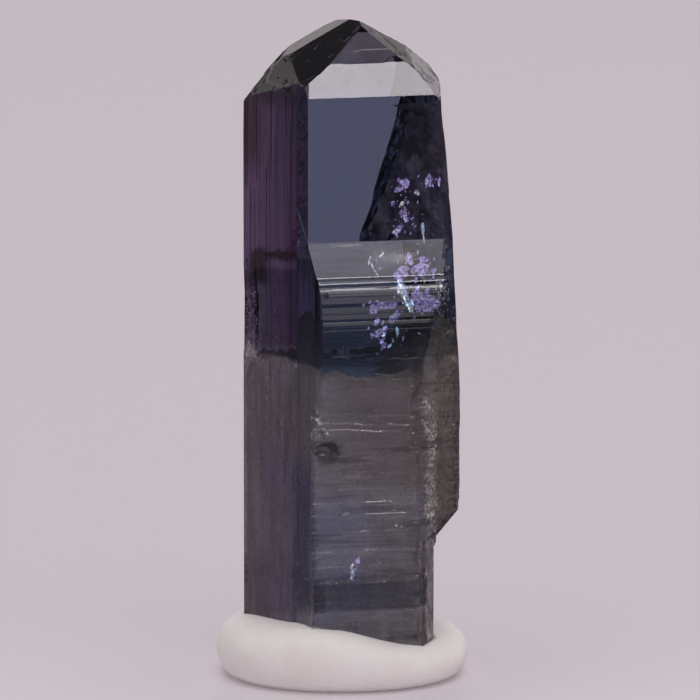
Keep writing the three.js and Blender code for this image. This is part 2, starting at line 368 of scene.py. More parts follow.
# chips: crushed left shoulder, corner above the dark slope, edge bruises
CHIPS = [  # centre, radii, roughness
    (np.array([-2.40, -1.30, 24.55]), (.20, .16, .28), .5),
    (np.array([-2.22, -1.55, 24.20]), (.14, .14, .20), .5),
    (np.array([-2.05, -1.72, 23.98]), (.12, .10, .13), .5),
    (np.array([-2.62, -1.02, 24.40]), (.14, .16, .16), .5),
    (seen(299, 243, .75), (.09, .12, .16), .5),
    (seen(437, 100, .2), (.16, .12, .09), .4),
    (seen(349, 42, 1.5), (.13, .16, .14), .5),
    (seen(326, 297, -1.12), (.14, .10, .16), .5),
    (seen(303, 412, -.05), (.20, .16, .14), .5),
    (seen(326, 451, -.45), (.52, .42, .36), .3),
    (seen(316, 434, -.45), (.34, .22, .30), .35),
    (seen(309, 418, -.35), (.26, .18, .26), .4),
    (seen(246, 262, 3.4), (.10, .10, .20), .5),
    (seen(244, 345, 3.45), (.10, .16, .38), .5),
    (seen(245, 300, 3.45), (.09, .14, .40), .5),
]
for k, (centre, radii, lumpy) in enumerate(CHIPS):
    combine(crystal, blob("chip", centre, radii, 800 + 7 * k, lumpy, 2.6))


for vert in crystal.data.vertices:
    vert.co *= MM
crystal.data.update()
crystal.data.materials.clear()
for poly in crystal.data.polygons:
    poly.use_smooth = False
    poly.material_index = 0

# ---------------------------------------------------------------- the putty
PAD_RADIUS = np.array([5.05, 5.0, 4.75, 5.0, 5.1, 5.05, 4.75, 4.95])
PAD_RIM = np.array([1.85, 1.95, 2.0, 2.15, 2.4, 2.5, 2.35, 1.7])
PAD_SECTION = np.array([[.0, .0], [.86, .0], [.93, .05], [.975, .17], [.995, .34], [1, .48], [.985, .64], [.955, .78],
                        [.91, .88], [.85, .955], [.78, .99], [.70, 1.0], [.55, .985], [.4, .96], [.2, .945], [.0, .94]])


def around(values, angle):
    """Smooth closed curve through values given every 45 degrees."""
    k = len(values)
    spectrum = np.fft.rfft(values) / k
    out = np.full_like(angle, spectrum[0].real)
    for h in range(1, len(spectrum)):
        gain = 1.0 if (k % 2 == 0 and h == k // 2) else 2.0
        out = out + gain * (spectrum[h].real * np.cos(h * angle) - spectrum[h].imag * np.sin(h * angle))
    return out


def make_putty():
    n_ang, n_sec = 220, 64
    length = np.concatenate([[0], np.cumsum(np.hypot(*np.diff(PAD_SECTION * [5, 2.2], axis=0).T))])
    t = np.linspace(0, length[-1], n_sec)
    rr = np.interp(t, length, PAD_SECTION[:, 0])
    hh = np.interp(t, length, PAD_SECTION[:, 1])
    for _ in range(3):  # soften the section's corners
        rr[1:-1] = (rr[:-2] + 2 * rr[1:-1] + rr[2:]) / 4
        inner_h = (hh[:-2] + 2 * hh[1:-1] + hh[2:]) / 4
        hh[1:-1] = np.where(hh[1:-1] < .004, 0.0, inner_h)
    ang = np.linspace(0, 2 * math.pi, n_ang, endpoint=False)
    A, K = np.meshgrid(ang, np.arange(1, n_sec - 1), indexing="ij")
    R = around(PAD_RADIUS, A) * rr[K]
    H = around(PAD_RIM, A) * hh[K]
    x, y = R * np.cos(A), R * np.sin(A)
    # thumb flats, a slack fold and the fine grain of kneaded putty
    wave = .05 * (noise(x * .45 + 9, y * .45 + 3, 901) - .5) * 2
    lump = .10 * (fbm(x * .8 + 5, y * .8 + H * .7, 902, 3) - .5) + .03 * (fbm(x * 2.6, y * 2.6 + H * 2.1, 903, 3) - .5)
    lift = np.clip(H / 1.2, 0, 1)
    H = H + (wave + lump) * lift * .8
    squeeze = 1 + .012 * (fbm(A * 2.2, H * 1.1, 904, 3) - .5) * lift
    fold = .05 * np.exp(-((H - .42 - .10 * np.sin(A * 2 + .5)) / .10) ** 2) * step(.35, .65, noise(A * 1.3, A * 0, 905))
    R2 = np.hypot(x, y) * squeeze - fold * (rr[K] > .9)
    x, y = R2 * np.cos(A), R2 * np.sin(A)
    lim = 5.09
    x, y = np.clip(x, -lim, lim), np.clip(y, -4.77, 4.77)
    pts = np.stack([x, y, np.maximum(H, 0)], -1)
    m = n_sec - 2
    idx = np.arange(n_ang * m).reshape(n_ang, m)
    nxt = np.roll(idx, -1, 0)
    quads = np.stack([idx[:, :-1], nxt[:, :-1], nxt[:, 1:], idx[:, 1:]], -1).reshape(-1, 4)
    top_z = float(np.mean(pts[:, -1, 2]))
    verts = np.concatenate([pts.reshape(-1, 3), [[0, 0, 0], [0, 0, top_z]]])
    low = np.stack([nxt[:, 0], idx[:, 0], np.full(n_ang, len(verts) - 2)], -1)
    high = np.stack([idx[:, -1], nxt[:, -1], np.full(n_ang, len(verts) - 1)], -1)
    faces = [tuple(q) for q in quads] + [tuple(f) for f in low] + [tuple(f) for f in high]
    return outward(mesh_object("putty", verts, faces))


putty = make_putty()


def foot_outline(gap):
    """Outline of the crystal's foot, grown by gap, in plan."""
    def half(h, p, g=gap):
        a = math.radians(h) + YAW
        n = np.array([math.sin(a), -math.cos(a)])
        return n, float(np.dot(n, p[:2])) + g
    planes = [half(-PRISM, at(-2.961, .796)), half(180 + PRISM, at(-4.667, 3.547)), half(180, at(0, 6.2)),
              half(180 - PRISM, at(2.57, 5.12)), half(90, at(2.57, 1.0)), half(PRISM, at(1.87, -.4)), half(0, at(0, -.41))]
    poly = [np.array(c, float) for c in ((-9, -9), (9, -9), (9, 9), (-9, 9))]
    for n, d in planes:
        out = []
        for k in range(len(poly)):
            a, b = poly[k], poly[(k + 1) % len(poly)]
            da, db = np.dot(n, a) - d, np.dot(n, b) - d
            if da <= 0:
                out.append(a)
            if (da < 0 < db) or (db < 0 < da):
                out.append(a + (b - a) * da / (da - db))
        poly = out
    return np.array(poly)


ring = foot_outline(.035)
k = len(ring)
verts = np.concatenate([np.c_[ring, np.full(k, .70)], np.c_[ring, np.full(k, 4.0)]])
faces = [tuple(range(k))[::-1], tuple(range(k, 2 * k))] + [(i, (i + 1) % k, k + (i + 1) % k, k + i) for i in range(k)]
combine(putty, outward(mesh_object("socket", verts, faces)))
for vert in putty.data.vertices:
    vert.co *= MM
for poly in putty.data.polygons:
    poly.use_smooth = True
putty.data.update()


# ---------------------------------------------------------------- materials
class Nodes:
    """Small helper around a material's node tree."""

    def __init__(self, name):
        self.mat = bpy.data.materials.new(name)
        self.mat.use_nodes = True
        self.tree = self.mat.node_tree
        self.bsdf = self.tree.nodes["Principled BSDF"]
        self.out = self.tree.nodes["Material Output"]
        coord = self.tree.nodes.new("ShaderNodeTexCoord")
        scale = self.tree.nodes.new("ShaderNodeVectorMath")
        scale.operation = "SCALE"
        scale.inputs["Scale"].default_value = 1000.0
        self.link(coord.outputs["Object"], scale.inputs[0])
        self.mm = scale.outputs[0]

    def link(self, a, b):
        self.tree.links.new(a, b)

    def new(self, kind, **props):
        n = self.tree.nodes.new(kind)
        for key, value in props.items():
            setattr(n, key, value)
        return n

    def put(self, socket, value):
        if hasattr(value, "is_output"):
            self.link(value, socket)
        else:
            socket.default_value = value

    def math(self, op, a, b=0.0, clamp=False):
        n = self.new("ShaderNodeMath", operation=op, use_clamp=clamp)
        self.put(n.inputs[0], a)
        self.put(n.inputs[1], b)
        return n.outputs[0]

    def axis(self, which):
        n = self.new("ShaderNodeSeparateXYZ")
        self.link(self.mm, n.inputs[0])
        return n.outputs[which]

    def stretched(self, x, y, z, turn=0.0):
        n = self.new("ShaderNodeMapping")
        n.inputs["Scale"].default_value = (x, y, z)
        n.inputs["Rotation"].default_value = (0, 0, turn)
        self.link(self.mm, n.inputs["Vector"])
        return n.outputs[0]

    def noise(self, vector, scale=1.0, detail=3.0, rough=.55, warp=0.0):
        n = self.new("ShaderNodeTexNoise")
        self.link(vector, n.inputs["Vector"])
        n.inputs["Scale"].default_value = scale
        n.inputs["Detail"].default_value = detail
        n.inputs["Roughness"].default_value = rough
        n.inputs["Distortion"].default_value = warp
        return n.outputs["Fac"]

    def ramp(self, value, lo, hi, a=0.0, b=1.0):
        n = self.new("ShaderNodeMapRange", interpolation_type="SMOOTHSTEP", clamp=True)
        self.link(value, n.inputs["Value"])
        for key, v in (("From Min", lo), ("From Max", hi), ("To Min", a), ("To Max", b)):
            n.inputs[key].default_value = v
        return n.outputs["Result"]

    def facing(self, direction, lo, hi):
        g = self.new("ShaderNodeNewGeometry")
        d = self.new("ShaderNodeVectorMath", operation="DOT_PRODUCT")
        self.link(g.outputs["Normal"], d.inputs[0])
        d.inputs[1].default_value = direction
        return self.ramp(d.outputs["Value"], lo, hi)

    def mix(self, fac, a, b):
        n = self.new("ShaderNodeMix", data_type="RGBA")
        self.put(n.inputs[0], fac)
        self.put(n.inputs[6], a if hasattr(a, "is_output") else (*a, 1))
        self.put(n.inputs[7], b if hasattr(b, "is_output") else (*b, 1))
        return n.outputs[2]

    def bump(self, height, strength, distance):
        n = self.new("ShaderNodeBump")
        n.inputs["Strength"].default_value = strength
        n.inputs["Distance"].default_value = distance
        self.link(height, n.inputs["Height"])
        self.link(n.outputs[0], self.bsdf.inputs["Normal"])


def way(heading, rise=0.0):
    a, e = math.radians(heading) + YAW, math.radians(rise)
    return (math.sin(a) * math.cos(e), -math.cos(a) * math.cos(e), math.sin(e))


ABSORB = (.175, .242, .389)
DENSITY = 360.0

k = Nodes("tanzanite")
z = k.axis("Z")
left = k.math("MAXIMUM", k.facing(way(-PRISM), .62, .86), k.facing(way(180 + PRISM), .62, .86))
long_streak = k.noise(k.stretched(5.0, 5.0, .22), 1.0, 3.0)
cloud = k.noise(k.stretched(.55, .55, .40), 1.0, 4.0, .6)
flat_streak = k.noise(k.stretched(.5, .5, 7.0, -YAW), 1.0, 3.0)
grain = k.noise(k.mm, 7.0, 3.0, .6)
zz = k.math("ADD", z, k.math("MULTIPLY", cloud, 1.6))
frost = k.ramp(zz, 14.6, 13.5)
# pale blue-grey where clear, violet on the left, smoky brown-grey in the frosted lower half
clear = k.mix(k.ramp(cloud, .35, .7), (.86, .90, 1.0), (.95, .93, 1.0))
violet = k.mix(k.ramp(long_streak, .30, .70), (.27, .085, .19), (.44, .16, .295))
ahead = k.facing(way(0), .6, .85)
streak = k.math("ADD", k.math("MULTIPLY", flat_streak, ahead), k.math("MULTIPLY", long_streak, k.math("SUBTRACT", 1.0, ahead)))
smoke = k.mix(k.ramp(streak, .30, .70), (.86, .81, .81), (.95, .93, .93))
up = k.math("ADD", k.math("MULTIPLY", z, .9816), k.math("MULTIPLY", k.axis("Y"), .1908))
ragged = k.math("MULTIPLY", k.math("SUBTRACT", k.noise(k.stretched(2.2, 2.2, 1.1), 1.0, 4.0, .65), .5), 22.0)
px = k.math("ADD", k.math("MULTIPLY", k.axis("X"), 25.0), 342.5)
py = k.math("ADD", k.math("SUBTRACT", 672.0, k.math("MULTIPLY", up, 25.0)), ragged)


def spot(x0, x1, y0, y1, soft_x, soft_y):
    """Soft patch given by where it shows from the front."""
    across = k.math("MULTIPLY", k.ramp(px, x0 - soft_x, x0 + soft_x), k.ramp(px, x1 + soft_x, x1 - soft_x))
    down = k.math("MULTIPLY", k.ramp(py, y0 - soft_y, y0 + soft_y), k.ramp(py, y1 + soft_y, y1 - soft_y))
    return k.math("MULTIPLY", across, down)


violet = k.mix(k.math("MULTIPLY", k.math("MAXIMUM", spot(238, 262, 84, 168, 8, 18), spot(238, 304, 78, 106, 6, 9)), .88), violet, (.085, .030, .028))
violet = k.mix(k.math("MULTIPLY", k.math("MAXIMUM", spot(250, 299, 250, 262, 3, 4), spot(249, 268, 250, 284, 5, 6)), .97), violet, (.035, .012, .008))
colour = k.mix(left, clear, violet)
colour = k.mix(k.ramp(z, 23.6, 24.4), colour, k.mix(k.ramp(px, 318, 296), k.mix(k.ramp(cloud, .4, .65), (.42, .29, .23), (.68, .54, .47)), k.mix(k.ramp(cloud, .4, .65), (.24, .135, .10), (.44, .29, .24))))
colour = k.mix(k.math("MULTIPLY", frost, .85), colour, k.mix(left, smoke, k.mix(.10, smoke, violet)))
foot_band = k.math("MULTIPLY", ahead, k.math("MULTIPLY", k.ramp(z, 3.08, 3.22), k.ramp(z, 4.42, 4.30)))
colour = k.mix(foot_band, colour, (.26, .25, .30))
bed = k.noise(k.stretched(.22, .22, 2.6, -YAW), 1.0, 3.0, .55, .4)
wisps = k.math("MULTIPLY", ahead, k.math("MULTIPLY", k.ramp(bed, .56, .66), k.ramp(z, 13.2, 12.6)))
colour = k.mix(k.math("MULTIPLY", wisps, .75), colour, (.30, .28, .31))
# painted shade: the hollow of the notch is darkened to blue-grey in the base colour
notch_shade = k.new("ShaderNodeVectorMath", operation="DISTANCE")
k.link(k.mm, notch_shade.inputs[0])
notch_shade.inputs[1].default_value = tuple(seen(327, 452, -.35))
colour = k.mix(k.math("MULTIPLY", k.ramp(notch_shade.outputs["Value"], .62, .40), .85), colour, (.16, .16, .20))
# deep blue where the thicker growth begins, near black on its narrow left wall
deep = k.math("MULTIPLY", ahead, k.math("MULTIPLY", k.ramp(zz, 13.2, 14.2), k.ramp(z, 16.35, 16.0)))
colour = k.mix(k.math("MULTIPLY", deep, .9), colour, k.mix(k.ramp(flat_streak, .4, .6), (.13, .19, .21), (.22, .27, .33)))
colour = k.mix(k.math("MULTIPLY", k.facing(way(-WALL), .976, .992), k.ramp(z, 12.6, 13.4)), colour, k.mix(k.ramp(z, 15.6, 17.2), (.36, .44, .62), (.12, .15, .21)))
k.link(colour, k.bsdf.inputs["Base Color"])
rough_low = k.math("MULTIPLY", frost, k.ramp(k.math("MULTIPLY", k.math("ADD", streak, grain), .5), .36, .62, .08, .34))
rough_up = k.ramp(grain, .45, .8, .015, .06)
worn = k.math("MULTIPLY", k.facing(way(0, 30), .90, .96), k.ramp(px, 310.0, 308.5, 0, .75))
k.link(k.math("MAXIMUM", worn, k.math("MAXIMUM", rough_low, rough_up)), k.bsdf.inputs["Roughness"])
k.bump(k.math("MULTIPLY", grain, frost), .35, .00003)
k.bsdf.inputs["Transmission Weight"].default_value = 1.0
k.bsdf.inputs["IOR"].default_value = 1.69
vol = k.new("ShaderNodeVolumeAbsorption")
vol.inputs["Color"].default_value = (*ABSORB, 1)
vol.inputs["Density"].default_value = DENSITY
k.link(vol.outputs[0], k.out.inputs["Volume"])
crystal.data.materials.append(k.mat)

k = Nodes("putty_white")
dough = k.noise(k.mm, .8, 5.0, .6)
fine = k.noise(k.mm, 9.0, 4.0, .65)
pores = k.noise(k.mm, 22.0, 2.0, .5)
body = k.mix(k.ramp(dough, .35, .7), (.94, .895, .865), (.98, .945, .92))
k.link(k.mix(k.ramp(fine, .62, .8, 0, .5), body, (.84, .78, .74)), k.bsdf.inputs["Base Color"])
k.link(k.ramp(fine, .3, .8, .62, .8), k.bsdf.inputs["Roughness"])
k.bump(k.math("ADD", k.math("MULTIPLY", fine, .8), k.math("MULTIPLY", pores, .35)), .5, .00009)
k.bsdf.inputs["Subsurface Weight"].default_value = .15
k.bsdf.inputs["Subsurface Radius"].default_value = (1.0, .8, .7)
k.bsdf.inputs["Subsurface Scale"].default_value = .0006
putty.data.materials.clear()
putty.data.materials.append(k.mat)


# ---------------------------------------------------------------- what is sealed inside
from mathutils.bvhtree import BVHTree

deps = bpy.context.evaluated_depsgraph_get()
bm = bmesh.new()
bm.from_mesh(crystal.data)
bmesh.ops.triangulate(bm, faces=bm.faces)
TRI = np.array([[v.co[:] for v in f.verts] for f in bm.faces]) / MM
TREE = BVHTree.FromPolygons([tuple(p) for p in TRI.reshape(-1, 3)], np.arange(len(TRI) * 3).reshape(-1, 3).tolist())
bm.free()
cross = np.cross(TRI[:, 1] - TRI[:, 0], TRI[:, 2] - TRI[:, 0])
AREA = np.linalg.norm(cross, axis=1) / 2
NORMAL = cross / np.maximum(2 * AREA[:, None], 1e-12)


def inside(points, margin=.012):
    """Which points lie in the crystal, at least margin below its skin."""
    good = np.zeros(len(points), bool)
    for i, p in enumerate(points):
        hit, n, _, dist = TREE.find_nearest(Vector(p))
        good[i] = dist > margin and (Vector(p) - hit).dot(n) < 0
        if good[i] and dist < .3:
            out = TREE.ray_cast(Vector(p), Vector((.137, .071, .988)))
            good[i] = out[0] is not None and out[1].dot(Vector((.137, .071, .988))) > 0
    return good


def on_skin(count, seed, accept):
    """Random points spread evenly over the skin where accept(points, normals) allows."""
    rng = np.random.RandomState(seed)
    pick = rng.choice(len(TRI), count, p=AREA / AREA.sum())
    a, b = rng.rand(count), rng.rand(count)
    flip = a + b > 1
    a[flip], b[flip] = 1 - a[flip], 1 - b[flip]
    t = TRI[pick]
    p = t[:, 0] + a[:, None] * (t[:, 1] - t[:, 0]) + b[:, None] * (t[:, 2] - t[:, 0])
    n = NORMAL[pick]
    keep = rng.rand(count) < accept(p, n)
    return p[keep], n[keep]


def unit(v):
    return v / np.maximum(np.linalg.norm(v, axis=-1, keepdims=True), 1e-9)


def flakes(name, centre, normal, along, length, width, thick, seed, material, sides=6):
    """Many thin irregular scales, each one closed, joined in one mesh; any that would reach the skin is left out."""
    rng = np.random.RandomState(seed)
    m = len(centre)
    normal = unit(normal)
    along = unit(along - (along * normal).sum(1, keepdims=True) * normal)
    across = np.cross(normal, along)
    ang = np.linspace(0, 2 * math.pi, sides, endpoint=False)[None, :] + rng.uniform(-.35, .35, (m, sides))
    rad = rng.uniform(.55, 1.0, (m, sides))
    rim = (centre[:, None, :] + (rad * np.cos(ang) * length[:, None] / 2)[..., None] * along[:, None, :]
           + (rad * np.sin(ang) * width[:, None] / 2)[..., None] * across[:, None, :])
    top = centre + normal * thick[:, None] / 2
    low = centre - normal * thick[:, None] / 2
    pts = np.concatenate([rim, top[:, None], low[:, None]], 1)
    ok = inside(pts.reshape(-1, 3)).reshape(m, -1).all(1)
    pts = pts[ok]
    m = len(pts)
    first = np.arange(m)[:, None] * (sides + 2)
    i = np.arange(sides)[None, :]
    j = (i + 1) % sides
    up = np.stack([first + i, first + j, np.broadcast_to(first + sides, (m, sides))], -1).reshape(-1, 3)
    dn = np.stack([first + j, first + i, np.broadcast_to(first + sides + 1, (m, sides))], -1).reshape(-1, 3)
    ob = mesh_object(name, pts.reshape(-1, 3), np.concatenate([up, dn]), MM)
    ob.data.materials.append(material)
    inclusions.append(ob)
    return ob


inclusions = []


def plain_scale(name, a, b, rough=.5, scale=2.0, stretch=(1, 1, 1)):
    k = Nodes(name)
    tone = k.noise(k.stretched(*stretch), scale, 3.0, .6)
    k.link(k.mix(k.ramp(tone, .35, .65), a, b), k.bsdf.inputs["Base Color"])
    k.link(k.ramp(tone, .3, .7, rough * .8, min(1, rough * 1.2)), k.bsdf.inputs["Roughness"])
    return k


# smoky cloud that fills the lower half and ends in a ragged top
def make_cloud():
    axis = np.array([.15, -.15])
    n_ang, n_row = 180, 110
    ang = np.linspace(0, 2 * math.pi, n_ang, endpoint=False)
    pts = np.zeros((n_row, n_ang, 3))
    for i in range(n_row):
        for j, a in enumerate(ang):
            top = 12.95 + .85 * (fbm(a * 3.1, 0.0, 1011, 4) - .5) + .22 * (noise(a * 14, 0.0, 1012) - .5)
            top = top + 1.5 * step(-.9, -.2, a - 2 * math.pi if a > math.pi else a) * step(1.6, .9, a - 2 * math.pi if a > math.pi else a)
            zz = 1.0 + (top - 1.0) * i / (n_row - 1)
            way_out = Vector((math.cos(a), math.sin(a), 0))
            hit = TREE.ray_cast(Vector((axis[0], axis[1], zz)), way_out)
            r = hit[3]
            front_facing = step(.55, .8, -way_out[1])
            deep = .10 + .42 * fbm(a * 5.0, zz * .55, 1013, 4) ** 1.3
            deep = deep + .9 * front_facing * step(3.05, 3.2, zz) * step(4.45, 4.25, zz)
            deep = deep + .35 * step(top - .9, top, zz)
            pts[i, j] = (axis[0] + way_out[0] * (r - deep), axis[1] + way_out[1] * (r - deep), zz)
    verts = np.concatenate([pts.reshape(-1, 3), [[axis[0], axis[1], 1.0], [axis[0], axis[1], 12.2]]])
    idx = np.arange(n_row * n_ang).reshape(n_row, n_ang)
    nxt = np.roll(idx, -1, 1)
    quads = np.stack([idx[:-1], nxt[:-1], nxt[1:], idx[1:]], -1).reshape(-1, 4)
    low = np.stack([nxt[0], idx[0], np.full(n_ang, len(verts) - 2)], -1)
    high = np.stack([idx[-1], nxt[-1], np.full(n_ang, len(verts) - 1)], -1)
    ob = mesh_object("smoky_cloud", verts, [tuple(q) for q in quads] + [tuple(f) for f in low] + [tuple(f) for f in high], MM)
    outward(ob)
    for poly in ob.data.polygons:
        poly.use_smooth = True
    return ob


cloud_ob = make_cloud()
k = Nodes("smoke")
level = k.noise(k.stretched(.45, .45, 3.2, -YAW), 1.0, 4.0, .6)
upright_n = k.noise(k.stretched(3.4, 3.4, .35), 1.0, 4.0, .6)
side = k.ramp(k.axis("X"), -1.2, -2.0)
patch = k.noise(k.mm, .55, 4.0, .6)
tone = k.mix(k.ramp(level, .25, .75), (.66, .615, .62), (.88, .85, .88))
tone_side = k.mix(k.ramp(upright_n, .22, .78), (.74, .62, .68), (.96, .85, .93))
x_mm = k.axis("X")
z_mm = k.axis("Z")
mottle = k.noise(k.stretched(1.3, 1.3, .8), 1.0, 5.0, .65)
tone_side = k.mix(k.ramp(mottle, .44, .66, 0, .7), tone_side, (.60, .50, .535))
tone_side = k.mix(k.math("MULTIPLY", k.ramp(x_mm, -3.0, -3.5), .75), tone_side, (.86, .72, .68))
violet_low = k.math("MULTIPLY", k.math("MULTIPLY", k.ramp(x_mm, -3.3, -2.8), k.ramp(x_mm, -1.6, -1.9)), k.ramp(z_mm, 10.6, 8.4))
tone_side = k.mix(k.math("MULTIPLY", violet_low, .6), tone_side, (.86, .66, .98))
warm = k.math("MULTIPLY", k.ramp(z_mm, 7.4, 8.6), k.ramp(x_mm, -.9, .6))
tone = k.mix(k.math("MULTIPLY", warm, .7), tone, (.70, .605, .545))
cool = k.math("MULTIPLY", k.ramp(z_mm, 8.3, 7.3), k.ramp(x_mm, 1.2, .2))
tone = k.mix(k.math("MULTIPLY", cool, .7), tone, (.72, .74, .94))
tone = k.mix(side, tone, tone_side)
tone = k.mix(k.math("MULTIPLY", k.math("MULTIPLY", k.ramp(x_mm, -2.05, -1.85), k.ramp(x_mm, -1.05, -1.3)), k.ramp(z_mm, 9.6, 8.4)), tone, (.46, .42, .64))
tone = k.mix(k.ramp(patch, .42, .75, 0, .6), tone, (.74, .645, .60))
tone = k.mix(k.ramp(k.axis("X"), 3.0, 3.6), tone, k.mix(k.ramp(upright_n, .3, .7), (.80, .70, .645), (.98, .91, .88)))
k.link(tone, k.bsdf.inputs["Base Color"])
k.link(k.ramp(patch, .3, .7, .45, .75), k.bsdf.inputs["Roughness"])
k.bsdf.inputs["Transmission Weight"].default_value = .62
k.bsdf.inputs["IOR"].default_value = 1.06
cloud_ob.data.materials.append(k.mat)
inclusions.append(cloud_ob)


# fine scales around the cloud, drawn out level in front and upright on the sides
def low_half(p, n):
    cloud = fbm(p[:, 0] * .5 + 3, p[:, 2] * .5 + p[:, 1] * .3, 1001, 3)
    w = step(14.4, 12.7, p[:, 2] + 1.6 * (cloud - .5))
    return w * np.clip(.25 + 1.3 * cloud, 0, 1)


p, n = on_skin(4200, 1002, low_half)
rng = np.random.RandomState(1003)
front_face = (n @ np.array(way(0)) > .75)
level = np.cross(n, [0, 0, 1.0])
along = np.where(front_face[:, None], level, np.array([0, 0, 1.0])) + .12 * rng.randn(len(p), 3)
size = np.exp(rng.uniform(math.log(.06), math.log(.30), len(p)))
deep = .02 + .10 * rng.rand(len(p)) ** 1.5
flakes("smoky_scales", p - n * deep[:, None], n + .18 * rng.randn(len(p), 3), along, size, size * rng.uniform(.16, .4, len(p)),
       np.full(len(p), .006), 1004, plain_scale("scale_smoke", (.36, .31, .31), (.60, .55, .56), .6, 1.1).mat, 5)

# dark sheet on the inner break, upper right: partly a film on the break, partly painted shade standing in for the dark
# that inner reflection off the back faces leaves there
def film(name, left, right, v_left, v_right, rows, seed, material, bulge=.25, thick=.02):
    """Crumpled closed sheet between two edges given in the 700 x 700 view."""
    t = np.linspace(0, 1, rows)
    L = np.array([np.interp(t, np.linspace(0, 1, len(left)), [q[i] for q in left]) for i in (0, 1)]).T
    R = np.array([np.interp(t, np.linspace(0, 1, len(right)), [q[i] for q in right]) for i in (0, 1)]).T
    cols = max(6, rows // 2)
    w = np.linspace(0, 1, cols)
    grid = np.zeros((rows, cols, 3))
    for i in range(rows):
        for j in range(cols):
            a = L[i] * (1 - w[j]) + R[i] * w[j]
            v = v_left * (1 - w[j]) + v_right * w[j]
            v = v + bulge * (fbm(a[0] * .06, a[1] * .05, seed, 4) - .5) * 2
            if j == 0:
                a = a + np.array([3.0 * (fbm(a[1] * .16, 0.0, seed + 5, 3) - .5), 0])
            grid[i, j] = seen(a[0], a[1], v)
    back = at(0, thick) - at(0, 0)
    front_pts, back_pts = grid.reshape(-1, 3), grid.reshape(-1, 3) + back
    nn = rows * cols
    idx = np.arange(nn).reshape(rows, cols)
    good = inside(np.concatenate([front_pts, back_pts]), .03)
    good = (good[:nn] & good[nn:]).reshape(rows, cols)
    cell = good[:-1, :-1] & good[1:, :-1] & good[1:, 1:] & good[:-1, 1:]
    faces = []
    for i, j in zip(*np.nonzero(cell)):
        q = (idx[i, j], idx[i + 1, j], idx[i + 1, j + 1], idx[i, j + 1])
        faces.append(q)
        faces.append(tuple(nn + k for k in q[::-1]))
        for (di, dj), (s, e) in (((0, -1), (q[0], q[1])), ((1, 0), (q[1], q[2])), ((0, 1), (q[2], q[3])), ((-1, 0), (q[3], q[0]))):
            a, b = i + di, j + dj
            if not (0 <= a < cell.shape[0] and 0 <= b < cell.shape[1] and cell[a, b]):
                faces.append((e, s, nn + s, nn + e))
    ob = mesh_object(name, np.concatenate([front_pts, back_pts]), faces, MM)
    bm = bmesh.new()
    bm.from_mesh(ob.data)
    bmesh.ops.delete(bm, geom=[v for v in bm.verts if not v.link_faces], context="VERTS")
    bmesh.ops.recalc_face_normals(bm, faces=bm.faces)
    bm.to_mesh(ob.data)
    bm.free()
    ob.data.materials.append(material)
    inclusions.append(ob)
    return ob


# painted shade: this sheet's dark tone stands in for the shade of inner reflection in the upper right
k = plain_scale("film_dark_painted_shade", (.14, .12, .14), (.44, .39, .46), .35, .9)
film("dark_film_painted_shade", [(386, 100), (402, 106), (397, 130), (385, 165), (378, 185), (366, 215), (360, 246)],
     [(443, 100), (444, 130), (447, 165), (449, 185), (451, 215), (450, 246)], 3.2, 1.2, 70, 1101, k.mat)


def paint_glint(k, a, b, power=.55):
    """Painted glint: emission that stands in for the light a crack throws back from inside the stone."""
    spark = k.noise(k.mm, 9.0, 4.0, .7)
    k.link(k.mix(k.ramp(spark, .44, .62), tuple(.10 * c for c in a), b), k.bsdf.inputs["Emission Color"])
    k.bsdf.inputs["Emission Strength"].default_value = power
    return k.mat


def front_skin(x, y):
    """Depth of the terraced front where it shows at (x, y) of the view."""
    v = -.4
    for _ in range(14):
        v = .5 * v + .5 * float(terrace(seen(x, y, v)[2]))
    return v


# bright healed cracks: small scales in violet, blue and white whose flash is painted glint, an emission on them
def flash(name, spots, seed, a, b, rough=.25):
    """spots: view position, depth, spread across and down, count, size in millimetres."""
    rng = np.random.RandomState(seed)
    c, s = [], []
    for x, y, v, sx, sy, count, size in spots:
        q = np.stack([rng.normal(x, sx, count), rng.normal(y, sy, count)], 1)
        d = v + rng.uniform(-.05, .25, count)
        for (qx, qy), dv in zip(q, d):
            c.append(seen(qx, qy, dv + front_skin(qx, qy)))
            s.append(1.5 * size * math.exp(rng.uniform(-.7, .6)))
    c, s = np.array(c), np.array(s)
    n = np.array(way(0)) + .45 * rng.randn(len(c), 3)
    along = np.array([.25, 0, 1.0]) + .5 * rng.randn(len(c), 3)
    k = plain_scale(name + "_painted_glint", a, b, rough, 3.0)
    k.bsdf.inputs["Metallic"].default_value = 0.0
    return flakes(name, c, n, along, s, s * rng.uniform(.3, .7, len(c)), np.full(len(c), .008), seed + 1, paint_glint(k, a, b), 7)


# flash_violet and flash_white: scattered scales with painted glint at emission 0.55
flash("flash_violet", [(402, 222, .35, 6, 10, 22, .12), (392, 203, .3, 3, 4, 8, .10), (403, 185, .3, 5, 4, 16, .10), (427, 183, .3, 4, 5, 12, .10), (415, 266, .2, 12, 8, 60, .14), (421, 300, .2, 11, 7, 50, .14), (404, 300, .2, 7, 10, 24, .10), (378, 264, .2, 4, 8, 10, .08), (408, 205, .3, 9, 14, 20, .07), (375, 330, .25, 8, 10, 10, .12),
                       (380, 345, .2, 4, 4, 6, .10), (372, 305, .2, 5, 5, 6, .12), (400, 330, .25, 5, 8, 8, .12),
                       (395, 228, .3, 3, 4, 6, .10)], 1201, (.28, .17, .56), (.60, .49, .94))
flash("flash_white", [(401, 208, .25, 3, 3, 6, .07), (416, 192, .25, 2, 2, 3, .06), (400, 295, .15, 4, 9, 8, .08),
                      (443, 295, .2, 3, 7, 16, .10), (345, 512, .15, 1.5, 1.5, 5, .10), (397, 522, .15, 3, 3, 6, .07),
                      (392, 506, .15, 2, 4, 6, .07), (431, 492, .3, 1.5, 8, 10, .09), (420, 442, .2, 1, 2, 4, .08),
                      (420, 453, .2, 1.5, 1.5, 4, .08), (429, 430, .3, 3, 9, 10, .09)],
      1401, (.62, .60, .64), (.88, .87, .90))


